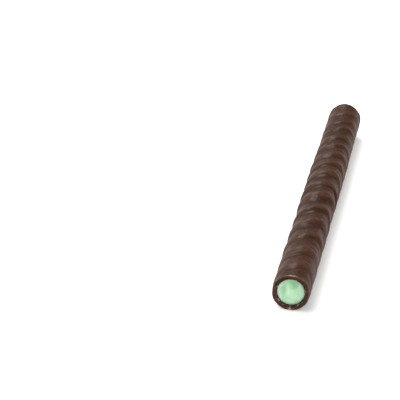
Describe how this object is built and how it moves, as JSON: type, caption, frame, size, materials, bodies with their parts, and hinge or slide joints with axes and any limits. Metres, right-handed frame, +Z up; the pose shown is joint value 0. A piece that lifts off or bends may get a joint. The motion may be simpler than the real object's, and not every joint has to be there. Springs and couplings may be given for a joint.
{
  "type": "chocolate mint straw",
  "caption": "Long thin tube of dark chocolate with a rippled outside, filled from end to end with pale green mint fondant and cut straight across at both ends.",
  "frame": {"origin": "under the middle of the straw, on the flat strip that it rests on", "axes": "+Y along the straw, from the cut end that the picture shows to the far end; +Z up, away from the surface it lies on"},
  "size_m": [0.009, 0.1054, 0.0088],
  "materials": {
    "dark_chocolate": "satin",
    "mint_fondant": "satin"
  },
  "bodies": {
    "root": {"chocolate_shell": "dark_chocolate", "mint_filling": "mint_fondant"}
  },
  "joints": []
}
